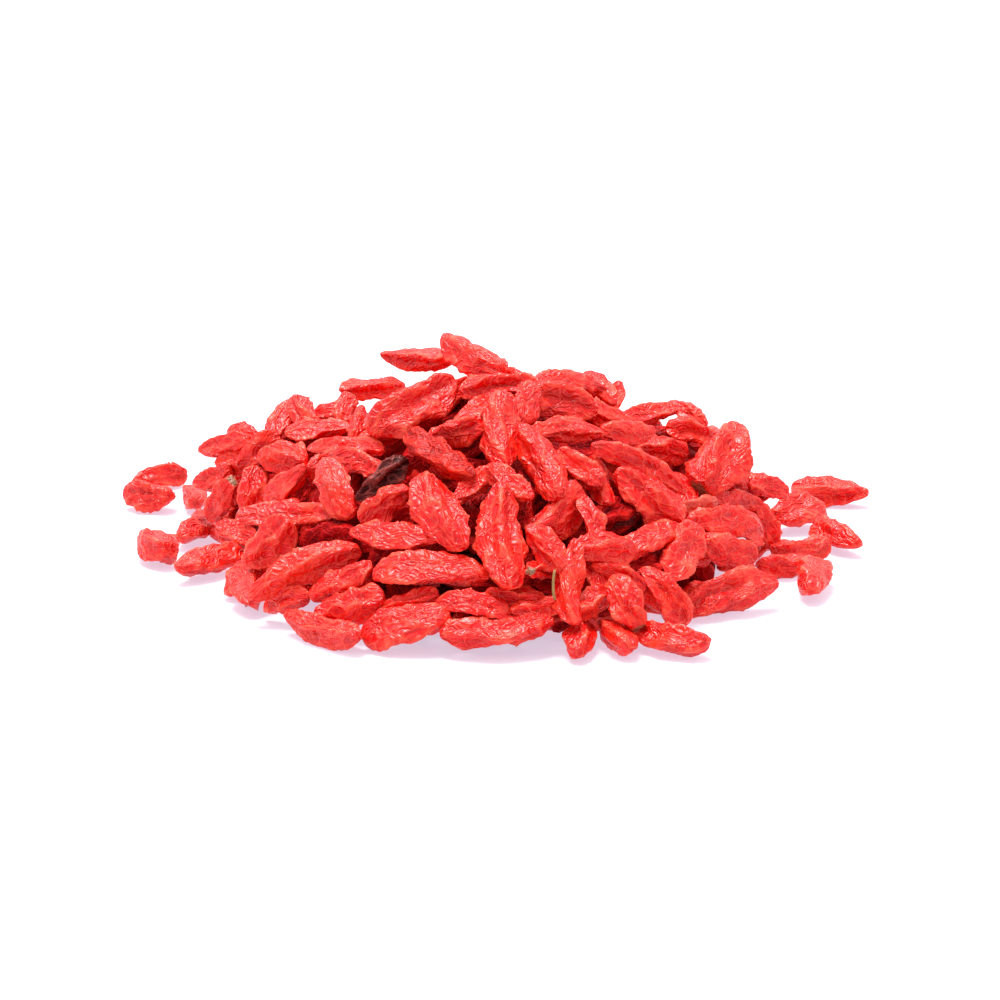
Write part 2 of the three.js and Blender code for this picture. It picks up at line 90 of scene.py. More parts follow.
def slope_normal(x, y):
    fall_across = slope_height(x - SLOPE_REACH, y) - slope_height(x + SLOPE_REACH, y)
    fall_away = slope_height(x, y - SLOPE_REACH) - slope_height(x, y + SLOPE_REACH)
    return Vector((fall_across, fall_away, 2 * SLOPE_REACH)).normalized()


def sight_line(across, up):
    return (RIGHT * across + UP * up - EYE).normalized()


def on_slope(across, up, lift, least_height):
    """Where a sight line first comes to the slopes or the table, or else passes closest."""
    sight = sight_line(across, up)
    way = (-SIGHT_ENDS - EYE.y) / sight.y
    last = (SIGHT_ENDS - EYE.y) / sight.y
    closest = None
    closest_gap = math.inf
    while way < last:
        point = EYE + sight * way
        table_height = least_height if point.y < 0 else -math.inf
        gap = point.z - max(slope_height(point.x, point.y) + lift, table_height)
        if gap <= 0:
            return point
        if gap < closest_gap:
            closest = point
            closest_gap = gap
        way += SIGHT_STEP
    return closest


# Strays: whole dried berries that rolled off and lie flat on the table by themselves. Each
# is its middle across and up in the front view, its length, width and thickness, and its
# heading on the table in degrees.
STRAYS = [
    (-54.4, 15.6, 11, 7, 5.2, 35),
    (-56.4, 12.4, 10.5, 8, 6.3, -30),
    (-48.6, 12.1, 12, 5.5, 5, -76),
    (-48.5, 6.7, 14, 6.5, 5.5, 78),
    (-55, 3.8, 12, 7.6, 6.8, -60),
    (-46.2, 1, 14.5, 7, 5.8, 48),
    (60.2, 13, 14.5, 7.5, 5.6, -15),
    (54.5, 9.4, 12, 8.5, 7, 35),
    (61.2, 5.5, 13.5, 6.5, 5.8, -62),
    (55.6, 3.2, 12, 7, 5.6, 30),
    (52.2, 0.5, 10, 6, 5, 20),
    (57.3, -1.6, 15.5, 7.2, 6.2, 78),
]
SINK = 0.25
HEAP_FIRMNESS = 0.86
LONE_FIRMNESS = 1.2


class Berry:
    """One dried berry: its middle, the line through its ends, its broad face, and its size."""

    def __init__(self, axis, face, long, wide, thick):
        self.middle = Vector()
        self.axis = axis
        self.face = face
        self.long = long
        self.wide = wide
        self.thick = thick
        self.sight = None
        self.loose = False
        self.firmness = HEAP_FIRMNESS

    def side(self):
        return self.face.cross(self.axis)

    def rest_height(self):
        """How high its middle is when it rests on the table."""
        reach = (self.long * self.axis.z) ** 2 + (self.wide * self.side().z) ** 2
        return math.sqrt(reach + (self.thick * self.face.z) ** 2) / 2 - SINK


def lying_berry(across, up, long, wide, thick, heading):
    turn = math.radians(heading)
    axis = Vector((math.cos(turn), math.sin(turn), 0))
    berry = Berry(axis, Vector((0, 0, 1)), long, wide, thick)
    berry.sight = sight_line(across, up)
    berry.middle = EYE + berry.sight * ((berry.rest_height() - EYE.z) / berry.sight.z)
    return berry


strays = [lying_berry(*row) for row in STRAYS]
for stray in strays:
    stray.loose = True
    stray.firmness = LONE_FIRMNESS

# Foot: the lowest ring of the heap, berries that lie flat on the table, and berries that
# lean on those. A leaning one is its middle across and up in the front view, its length and
# width as they show there, its slant in degrees with the right end up, and its lift.
FOOT_LYING = [
    (-26.4, -10.6, 17.5, 6, 5, -46),
    (17.6, -11.9, 14, 5.6, 5.2, 82),
    (23.6, -11.6, 13.5, 5.8, 5.2, -76),
    (32.1, -12, 15, 6.4, 5.4, -38),
]
FOOT = [
    (-33, -5.8, 8.5, 4.4, 15, 0),
    (-12.3, -10.1, 15.7, 7.9, 14, 0),
    (3.4, -10.9, 19.8, 6.2, 6, 0),
    (42.6, -4.3, 18.8, 7.9, 14, 0),
    (-21.7, -6.7, 12.6, 6.2, 14, 0),
]
THIN = 0.72
PLUMP = 0.95
LEAST_LONG = 9.5
MOST_LONG = 19
LEAST_SLIM = 1.65
MOST_WIDE = 10.4
MOST_LEAN = 0.8
SHOWS_SIDE = 0.32
SHOWS_FACE = 0.62
SIDE_LEAN = 0.25
FACE_LEAN = 1.35
SQUARE_ON = 0.9
FIT_ROUNDS = 3


def clamp(value, low, high):
    return max(low, min(high, value))


def face_toward(direction, axis):
    """A berry's broad face, turned as far to the direction as its axis lets it."""
    return (direction - axis * direction.dot(axis)).normalized()


def seen_berry(across, up, shown_long, shown_wide, slant, lift):
    """A berry that shows from the front: it leans along the slope that it lies on."""
    turn = math.radians(slant)
    flat = RIGHT * math.cos(turn) + UP * math.sin(turn)
    slimness = (shown_wide / shown_long - SHOWS_SIDE) / (SHOWS_FACE - SHOWS_SIDE)
    face_lean = SIDE_LEAN + (FACE_LEAN - SIDE_LEAN) * clamp(slimness, 0, 1)
    berry = Berry(flat, FRONTWARD, shown_long, shown_wide, shown_wide)
    berry.sight = sight_line(across, up)
    for _ in range(FIT_ROUNDS):
        middle = on_slope(across, up, lift * LIFT, berry.rest_height())
        nearness = -(middle - EYE).dot(FRONTWARD) / VIEW_DISTANCE
        normal = slope_normal(middle.x, middle.y)
        long_here = shown_long * nearness
        wide_here = shown_wide * nearness
        most_lean = min(MOST_LEAN, math.sqrt(max(0, (MOST_LONG / long_here) ** 2 - 1)))
        lean = clamp(-flat.dot(normal) / FRONTWARD.dot(normal), -most_lean, most_lean)
        berry.axis = (flat + FRONTWARD * lean).normalized()
        berry.face = face_toward(normal + FRONTWARD * face_lean, berry.axis)
        square = berry.face.dot(berry.sight) ** 2
        berry.wide = min(MOST_WIDE, wide_here / math.sqrt(square + THIN * THIN * (1 - square)))
        thick_left = max(0, wide_here ** 2 - square * berry.wide ** 2)
        thick_here = math.sqrt(thick_left / (1 - square)) if square < SQUARE_ON else 0
        berry.thick = clamp(thick_here, THIN * berry.wide, PLUMP * berry.wide)
        lean_long = long_here * math.sqrt(1 + lean * lean)
        berry.long = max(lean_long, LEAST_LONG, LEAST_SLIM * berry.wide)
        berry.middle = middle
    return berry


foot_lying = [lying_berry(*row) for row in FOOT_LYING]
foot = [seen_berry(*row) for row in FOOT]

# Left flank: whole dried berries, bright red, that lie down the heap's left slope on those
# below them. Their rows have the same columns as the leaning ones of the foot.
LEFT_FLANK = [
    (-43.8, 11.5, 8.5, 5.1, 55, 1),
    (-45.1, 15.2, 7.5, 4.4, 20, 0),
    (-43.1, 20.9, 9.9, 4.1, 10, 1),
    (-39.5, 22.4, 7.5, 4.1, -25, 1),
    (-37.6, 20, 8.2, 4.8, 40, 0),
    (-33.7, 25.1, 8.2, 3.8, 65, 1),
    (-29.9, 26.2, 6.8, 4.1, -60, 1),
    (-27.4, 23.4, 11.3, 4.1, 5, 1),
    (-33.2, 18.6, 8.5, 5.8, -10, 1),
    (-41, 17.3, 8.2, 3.8, -15, 0),
    (-39, 13, 6.8, 5.1, 80, 1),
    (-32.8, 14, 9.2, 4.8, 35, 1),
    (-24.4, 13.8, 11.3, 5.8, -62, 2),
    (-32.1, 8.9, 18.1, 5.1, 2, 1),
    (-35.6, 4.1, 11.3, 6.5, 42, 2),
    (-41, 5.3, 8.5, 4.8, -20, 0),
    (-29.9, -0.5, 20.9, 6.5, 24, 1),
    (-23.1, -2.7, 12.3, 5.8, 28, 0),
]
left_flank = [seen_berry(*row) for row in LEFT_FLANK]

# Front: whole dried berries that face the viewer. They lie on the slope, on those below
# them, and the largest of them stand on end.
FRONT = [
    (-14.5, 5.3, 15.7, 5.1, -3, 1),
    (-16.1, 10.9, 8.5, 5.8, 33, 1),
    (-6.5, 9.4, 14.7, 7.9, -58, 2),
    (-8.2, -0.7, 20.2, 6.5, 0, 1),
    (-11.6, -6.2, 9.2, 4.1, 15, 0),
    (-0.7, -6.7, 13.3, 4.8, -12, 0),
    (-0.7, 14.2, 9.2, 4.4, 38, 1),
    (5.5, 14.4, 9.6, 4.4, -35, 2),
    (4.1, 5.1, 18.1, 8, -85, 2),
    (13.3, 9.1, 12.3, 7.9, 48, 1),
    (11.8, 3.4, 8.9, 5.5, -50, 1),
    (10.6, -0.7, 7.5, 4.4, 20, 0),
    (15.9, -2.6, 14.4, 5.6, 88, 2),
    (6.5, -5.3, 10.6, 4.8, -5, 0),
    (10.6, -6.8, 8.2, 3.4, 12, 0),
    (19.1, 0.3, 7.9, 3.8, -65, 0),
    (19.1, 8.5, 8.5, 3.8, -75, 1),
    (21.2, 3.1, 11.6, 6, 0, 1),
    (19.8, -5.8, 6.8, 4.4, 30, 0),
    (10.9, 17.9, 14.4, 6.8, -64, 2),
    (17.6, 16.9, 9.2, 5.5, -40, 1),
    (20.9, 14.7, 8.9, 4.4, -75, 0),
    (14.9, 23.2, 13.3, 4.4, 2, 1),
    (3.8, 23.2, 13, 7, 92, 2),
    (-3.9, 23.2, 10.3, 5.5, 15, 1),
    (-0.3, 26.5, 8.2, 4.4, 35, 0),
    (8, 27.9, 6.5, 5.1, 70, 1),
]
front = [seen_berry(*row) for row in FRONT]

# Crown: the berries that were poured last and lie on top of the heap, with two that stick
# out above it.
CROWN = [
    (-10.8, 27.2, 17.1, 10.6, 32, 1),
    (-22.6, 20.5, 13.7, 3.8, -3, 1),
    (-19.8, 17.6, 12.3, 4.4, -20, 0),
    (-18.1, 30.6, 10.6, 4.6, 5, 0),
    (-23.1, 26.5, 6.8, 3.8, 80, 0),
    (-20.5, 24.1, 6.2, 3.4, 80, 0),
    (-9.7, 35.9, 13.3, 4.6, -3, 2),
    (-0.9, 36.2, 12.3, 6.2, -32, 3),
    (3.8, 31.1, 14, 5.1, 5, 1),
    (14.2, 28.4, 12.6, 7.2, -10, 1),
    (15.4, 31.5, 13.3, 3.8, 0, 1),
    (20.9, 30.4, 7.2, 4.4, -50, 1),
    (22.7, 28.4, 5.8, 3.8, 60, 0),
    (22.6, 25.6, 8.9, 4.4, -20, 0),
]
crown = [seen_berry(*row) for row in CROWN]

# Right flank: whole dried berries that lie down the heap's right slope, on those below
# them, with a large broad one among them.
RIGHT_FLANK = [
    (25.6, 23.1, 9.6, 4.3, 3, 1),
    (29.1, 26.2, 10.6, 3.8, 12, 1),
    (31.6, 20.5, 9.2, 4.8, -8, 0),
    (36.6, 23.1, 7.5, 4.8, -15, 0),
    (35.9, 26.5, 6.2, 3.4, -35, 0),
    (27.9, 17.6, 18.5, 4.4, -26, 2),
    (29.1, 12, 14.4, 7.9, -38, 1),
    (30.3, 4.6, 11.6, 5.1, 22, 1),
    (41.7, 18.6, 13.7, 9.6, 55, 2),
    (49.6, 13.5, 7.2, 4.1, -10, 0),
    (43.9, 11.3, 9.9, 3.8, -5, 0),
    (37.6, 10.6, 6.8, 3.4, 5, 0),
    (42.6, 7.7, 13.7, 5.5, -8, 1),
    (49.1, 7.2, 7.2, 4.1, -65, 0),
    (42.9, 3.1, 9.9, 6.2, -15, 1),
    (34.5, 2.6, 9.6, 7.2, 60, 1),
    (31.8, -5, 10.3, 7.5, -50, 1),
    (25.3, -6, 10.3, 6.3, -65, 2),
    (24.3, -1.2, 7.5, 4.1, -25, 0),
]
right_flank = [seen_berry(*row) for row in RIGHT_FLANK]

# Two darker berries: one that dried to dark brown and one that dried to dark red. They lie
# loose among the red ones at the front.
BROWN_BERRY = (-16.5, 15.1, 11.2, 4.8, 40, 1)
MAROON_BERRY = (-6.8, 19, 14, 5.5, -34, 2)
brown_berry = seen_berry(*BROWN_BERRY)
maroon_berry = seen_berry(*MAROON_BERRY)
brown_berry.firmness = LONE_FIRMNESS
maroon_berry.firmness = LONE_FIRMNESS

# Back: the berries that the front doesn't show, laid by rule on a spiral that fills the rest
# of the slopes evenly, each with its own size, heading, roll and tip.
SEED = 20731
SPIRAL_TURN = 2.399963
SPIRAL_STEPS = 1600
SPIRAL_REACH = 60
SPIRAL_AWAY = 2
FRONT_ENDS = -12
FRONT_SPREAD = 0.5
BACK_LOW = 2
ROOM = 7.8
LOWEST_RULED = 0.5
RULE_LONG = (11, 17.5)
RULE_WIDE = (5.2, 7.8)
RULE_THIN = (0.66, 0.82)
RULE_ROLL = 0.5
RULE_TIP = 0.35
SPIRAL_AHEAD = Vector((0, 1, 0.3))
DRAW_FACTOR = 16807
DRAW_RANGE = 2147483647

draw_state = SEED


def draw(low, high):
    """The even draw that gives each berry its own shape."""
    global draw_state
    draw_state = draw_state * DRAW_FACTOR % DRAW_RANGE
    return low + (high - low) * draw_state / DRAW_RANGE


def ruled_berry(x, y, low):
    """A berry with drawn sizes and turns, that lies so far below the slopes."""
    long = draw(*RULE_LONG)
    wide = draw(*RULE_WIDE)
    thick = wide * draw(*RULE_THIN)
    heading = draw(0, 2 * math.pi)
    roll = draw(-RULE_ROLL, RULE_ROLL)
    tip = draw(-RULE_TIP, RULE_TIP)
    normal = slope_normal(x, y)
    sideways = normal.cross(SPIRAL_AHEAD).normalized()
    ahead = normal.cross(sideways)
    axis = sideways * math.cos(heading) + ahead * math.sin(heading) + normal * tip
    axis.normalize()
    berry = Berry(axis, face_toward(normal + sideways * roll, axis), long, wide, thick)
    berry.middle = Vector((x, y, slope_height(x, y))) - normal * low
    berry.middle.z = max(berry.middle.z, berry.rest_height())
    return berry


def has_room(berry, others, room):
    return all((other.middle - berry.middle).length >= room for other in others)


laid = [*strays, *foot_lying, brown_berry, maroon_berry, *foot, *left_flank, *front, *crown]
laid += right_flank
back = []
for step in range(SPIRAL_STEPS):
    out = SPIRAL_REACH * math.sqrt((step + 0.5) / SPIRAL_STEPS)
    x = out * math.cos(step * SPIRAL_TURN)
    y = SPIRAL_AWAY + out * math.sin(step * SPIRAL_TURN)
    berry = ruled_berry(x, y, BACK_LOW)
    on_heap = slope_height(x, y) >= LOWEST_RULED
    behind = y >= FRONT_ENDS - FRONT_SPREAD * abs(x)
    if on_heap and behind and has_room(berry, laid + back, ROOM):
        back.append(berry)

# How they settle: three balls in each berry push the berries apart where they press too hard.
# One that shows moves along its own sight line, and none goes below the table.
SETTLE_ROUNDS = 40
PAIRS_EVERY = 8
PAIR_REACH = 3
BALLS = [(-0.62, 0.7), (0, 1), (0.62, 0.7)]
PUSH = 0.25
RETURN = 0.4
TOUCHING = 1e-6


def near_pairs(berries):
    pairs = []
    for i, berry in enumerate(berries):
        for j in range(i):
            reach = (berry.long + berries[j].long) / 2 + PAIR_REACH
            if (berry.middle - berries[j].middle).length < reach:
                pairs.append((berry, berries[j]))
    return pairs


def push_apart(berry, other):
    for place, size in BALLS:
        for other_place, other_size in BALLS:
            ball = berry.middle + berry.axis * (place * berry.long / 2)
            other_ball = other.middle + other.axis * (other_place * other.long / 2)
            apart = ball - other_ball
            wanted = berry.radius * size + other.radius * other_size
            distance = apart.length
            if TOUCHING < distance < wanted:
                push = apart * (PUSH * (wanted - distance) / distance)
                berry.middle += push
                other.middle -= push


every_berry = laid + back
for berry in every_berry:
    berry.radius = (berry.wide + berry.thick) / 4 * berry.firmness
    berry.home = berry.middle.copy()
for settle_round in range(SETTLE_ROUNDS):
    if settle_round % PAIRS_EVERY == 0:
        pairs = near_pairs(every_berry)
    for berry, other in pairs:
        push_apart(berry, other)
    for berry in every_berry:
        if berry.sight:
            drift = berry.middle - berry.home
            berry.middle -= (drift - berry.sight * drift.dot(berry.sight)) * RETURN
        rest = berry.rest_height()
        berry.middle.z = rest if berry.loose else max(berry.middle.z, rest)

# How each skin shrank: three or four ridges with hollow sides between them, a twist, a bend
# and a tip, drawn for each berry.
RIDGES = (3, 4)
MOST_TWIST = 0.5
MOST_BEND = 0.07


def draw_shape(berry):
    berry.ridges = math.floor(draw(RIDGES[0] - 0.5, RIDGES[1] + 0.5) + 0.5)
    berry.phase = draw(0, 2 * math.pi)
    berry.twist = draw(-MOST_TWIST, MOST_TWIST)
    berry.side_bend = draw(-MOST_BEND, MOST_BEND) * berry.long
    berry.face_bend = draw(-MOST_BEND, MOST_BEND) * berry.long
    berry.tip = -1 if draw(-1, 1) < 0 else 1


for berry in every_berry:
    draw_shape(berry)

# Skin: a thin, tough film that shrank with the flesh. It stands in a few sharp ridges along
# the berry with hollow sides between them, is drawn together like a purse at both ends, and
# lies in fine crinkles all over. A mesh is its steps around the berry and along it, and
# heights and depths are in millimetres or shares of the berry's radius.
SEEN_MESH = (60, 52)
BLUNT = 0.6
TIP_TAPER = 0.12
TIP_POINT = 0.12
RIDGE_OUT = 1.08
RIDGE_DEEP = 0.56
RIDGE_LEVEL = 0.5
RIDGE_WANDER = 0.5
WANDER_ALONG = 1.7
WANDER_AROUND = 0.7
RIDGE_UNEVEN = 0.45
UNEVEN_ALONG = 0.9
RIDGE_FADE = 0.6
DENT_SIZE = 3.6
DENT_DEEP = 0.24
PLEAT_SIZE = 2.0
PLEAT_STRETCH = 0.4
PLEAT_HIGH = 0.4
FOLD_SIZE = 2.7
FOLD_STRETCH = 0.5
FOLD_HIGH = 0.54
FOLD_FADE = 2
CREASE_WIDTH = 0.48
CREASE_SHARP = 1.7
CREASE_LEVEL = 0.4
WARP = 0.8
WARP_SIZE = 0.7
CRUMPLE_SIZE = 0.85
CRUMPLE_HIGH = 0.17
PUCKERS = 7
PUCKER_DEEP = 0.24
SCAR_SIZE = 1.0
SCAR_DEEP = 0.3
SCAR_EDGE = 1.5
SCAR_ROUND = 0.8
BOW_LEVEL = 1 / 3
RIDGE_SHOWS = 0.3
FOLD_SHOWS = 0.45
PLEAT_SHOWS = 0.25
SEED_STEP = Vector((17.3, 5.1, 0))
noise.seed_set(SEED)


def crease(value):
    """1 on the line where a noise crosses zero, falling away from it in a hollow curve."""
    return max(0.0, 1 - abs(value) / CREASE_WIDTH) ** CREASE_SHARP


def crinkle(place, stretch, size):
    """The crest lines of a wrinkle pattern that is drawn out along the berry."""
    drawn = Vector((place.x * stretch, place.y, place.z)) / size
    drawn += WARP * noise.noise_vector(drawn * WARP_SIZE)
    return crease(noise.noise(drawn))


def shrunken(berry, along, around, girth):
    """A point of the skin, its place in the berry's own millimetres, and how it folds."""
    seed = SEED_STEP * berry.number
    end = along * berry.tip
    ring = Vector((0, math.cos(around), math.sin(around)))
    wander_place = Vector((along * WANDER_ALONG, 0, 0)) + ring * WANDER_AROUND + seed
    wander = RIDGE_WANDER * noise.noise(wander_place)
    wave = abs(math.sin(berry.ridges * (around + wander) / 2))
    uneven_place = Vector((along * UNEVEN_ALONG, 0, 0)) + ring + seed * 2
    uneven = 1 + RIDGE_UNEVEN * noise.noise(uneven_place)
    valley = wave * uneven
    taper = 1 - TIP_TAPER * end - TIP_POINT * max(0, end) ** 3
    ridge = RIDGE_DEEP * (1 - RIDGE_FADE * along ** 4) * berry.hollow
    hollowed = RIDGE_OUT - RIDGE_DEEP / 2 + ridge * (RIDGE_LEVEL - valley)
    radius = girth ** BLUNT * taper * hollowed
    pucker = abs(math.sin(PUCKERS * (around + wander) / 2 + seed.x))
    radius *= 1 - PUCKER_DEEP * berry.hollow * along ** 4 * pucker
    turn = around + berry.phase + berry.twist * along
    across = math.sin(turn) * berry.wide / 2
    out = math.cos(turn) * berry.thick / 2
    place = Vector((along * berry.long / 2, radius * across, radius * out)) + seed

    dent = noise.noise(place / DENT_SIZE)
    pleat = crinkle(place, PLEAT_STRETCH, PLEAT_SIZE)
    fold = crinkle(place + seed, FOLD_STRETCH, FOLD_SIZE)
    rise = PLEAT_HIGH * (pleat - CREASE_LEVEL) + FOLD_HIGH * (fold - CREASE_LEVEL)
    rise = rise * berry.hollow + CRUMPLE_HIGH * noise.noise(place / CRUMPLE_SIZE)
    middle_radius = (berry.wide + berry.thick) / 4
    radius *= 1 - DENT_DEEP * max(0, dent) + rise / middle_radius * min(1, girth * FOLD_FADE)

    from_stalk = (1 + end) * berry.long / 2 + girth * middle_radius * SCAR_ROUND
    scar = clamp(SCAR_EDGE - from_stalk / SCAR_SIZE, 0, 1) if berry.scarred else 0
    bow = along * along - BOW_LEVEL
    point = berry.middle + berry.axis * (along * (berry.long / 2 - scar * SCAR_DEEP))
    point += berry.side() * (radius * across + bow * berry.side_bend)
    point += berry.face * (radius * out + bow * berry.face_bend)
    point.z = max(point.z, 0)
    # crest: how far a point stands on a ridge, fold or pleat. It drives the painted shade in the folds
    # and the paler crests, which are partly painted highlight.
    crest = clamp(1 - valley, 0, 1) * RIDGE_SHOWS + fold * FOLD_SHOWS + pleat * PLEAT_SHOWS
    return point, place, crest, max(scar, berry.dryness)


def add_berry(mesh, berry, steps):
    """A ball drawn out and shrunken into one berry, and added to the mesh."""
    ball = bmesh.new()
    skin_layer = ball.verts.layers.float_vector.new("skin")
    crest_layer = ball.verts.layers.float.new("crest")
    dry_layer = ball.verts.layers.float.new("dry")
    tone_layer = ball.verts.layers.float.new("tone")
    bmesh.ops.create_uvsphere(ball, u_segments=steps[0], v_segments=steps[1], radius=1)
    for face in ball.faces:
        face.smooth = True
    for vert in ball.verts:
        along = vert.co.z
        around = math.atan2(-vert.co.y, vert.co.x)
        girth = math.hypot(vert.co.x, vert.co.y)
        point, skin, crest, dry = shrunken(berry, along, around, girth)
        vert.co = point * MM
        vert[skin_layer] = skin
        vert[crest_layer] = crest
        vert[dry_layer] = dry
        vert[tone_layer] = berry.tone
    skin_data = bpy.data.meshes.new("berry")
    ball.to_mesh(skin_data)
    ball.free()
    mesh.from_mesh(skin_data)
    bpy.data.meshes.remove(skin_data)


def make_piece(name, berries, steps, material, slot, *nodes):
    """Joins some berries into one mesh that stands for those nodes of the model."""
    mesh = bmesh.new()
    for berry in berries:
        add_berry(mesh, berry, steps)
    data = bpy.data.meshes.new(name)
    mesh.to_mesh(data)
    mesh.free()
    data.materials.append(material)
    piece = bpy.data.objects.new(name, data)
    bpy.context.scene.collection.objects.link(piece)
    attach(piece, "root")
    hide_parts(*nodes)


# Stalk scars: the round, dry spot where the stalk broke off. Most lie turned away, so these
# are the places in the front view where one shows, of one berry that dried out too far, and
# of one that lies end-on with its scar to the front. Berries that lie end-on are plumper.
SCARS_SHOWN = [(-39.5, 13.4), (17.2, 13.4), (9.4, -1.7), (37.6, 15), (-23, 27.8), (31, -13)]
TOO_DRY = (37.6, 10.6)
TOO_DRY_SHARE = 0.3
SCARRED_BEHIND = 0.8
PLUMPER_END_ON = 0.55
END_ON = (9.7, -1.4)
END_ON_AXIS = FRONTWARD * 0.9 - RIGHT * 0.4 + UP * 0.12
END_ON_NEARER = 1.5


def off_sight(point, across, up):
    """How far a point lies from the sight line to a place in the front view."""
    sight = sight_line(across, up)
    away = point - EYE
    return (away - sight * away.dot(sight)).length


for number, berry in enumerate(every_berry):
    berry.number = number + 1
    berry.tone = draw(0, 1)
    berry.dryness = 0
    berry.hollow = 1 - PLUMPER_END_ON * berry.axis.dot(FRONTWARD) ** 2
    berry.scarred = berry in back and berry.tone > SCARRED_BEHIND
for across, up in SCARS_SHOWN:
    ends = [(berry, side) for berry in laid for side in (-1, 1)]
    berry, side = min(ends, key=lambda end: off_sight(
        end[0].middle + end[0].axis * (end[1] * end[0].long / 2), across, up))
    berry.tip = -side
    berry.scarred = True
end_on = min(laid, key=lambda berry: off_sight(berry.middle, *END_ON))
end_on.axis = END_ON_AXIS.normalized()
end_on.face = face_toward(UP, end_on.axis)
end_on.middle += FRONTWARD * END_ON_NEARER
end_on.tip = -1
end_on.scarred = True
dry_berry = min(laid, key=lambda berry: off_sight(berry.middle, *TOO_DRY))
dry_berry.dryness = TOO_DRY_SHARE


# Skin finish: what the film shows up close. A net of raised lines with smooth pads between
# them, lines across the berry in patches, and grain. Its folds are painted darker, as painted
# shade, and its crests and the rims of its net lines are painted paler, partly as pale dry skin
# and partly as painted highlight. Scales are cells a millimetre, and highs are shares of the
# bump's distance.
SKIN_STRETCH = (0.5, 1.0, 1.0)
BEND_SCALE = 0.38
BEND_BY = (2.0, 2.0, 2.0)
NET_SCALE = 0.78
LINE_WIDE = 0.26
LINE_HIGH = 0.42
RIM_WIDE = 0.11
RIM_PALE = 0.5
PAD_WIDE = 0.5
PAD_HIGH = 0.28
CROSS_STRETCH = (2.6, 0.7, 0.7)
CROSS_SCALE = 0.7
CROSS_WIDE = 0.3
CROSS_HIGH = 0.12
PATCH_SCALE = 0.3
PATCH_EDGE = (0.42, 0.6)
SMALL_SCALE = 1.5
SMALL_WIDE = 0.28
SMALL_HIGH = 0.12
GRAIN_SCALE = 3.5
GRAIN_HIGH = 0.06
GRAIN_RANGE = (0.3, 0.7)
ROUGH_RANGE = (0.24, 0.42)
FOLD_DEPTH = 0.5
PALE_RANGE = (0.45, 0.9)
BLOTCH_SCALE = 0.2
BLOTCH_EDGE = (0.45, 0.75)
SCAR_COLOR = (0.3, 0.15, 0.085, 1)
BUMP_STRENGTH = 0.9
BUMP_DISTANCE = 0.0006
GLOW_SHARE = 0.12
GLOW_REACH = (1.0, 0.12, 0.08)
GLOW_SCALE = 0.0008


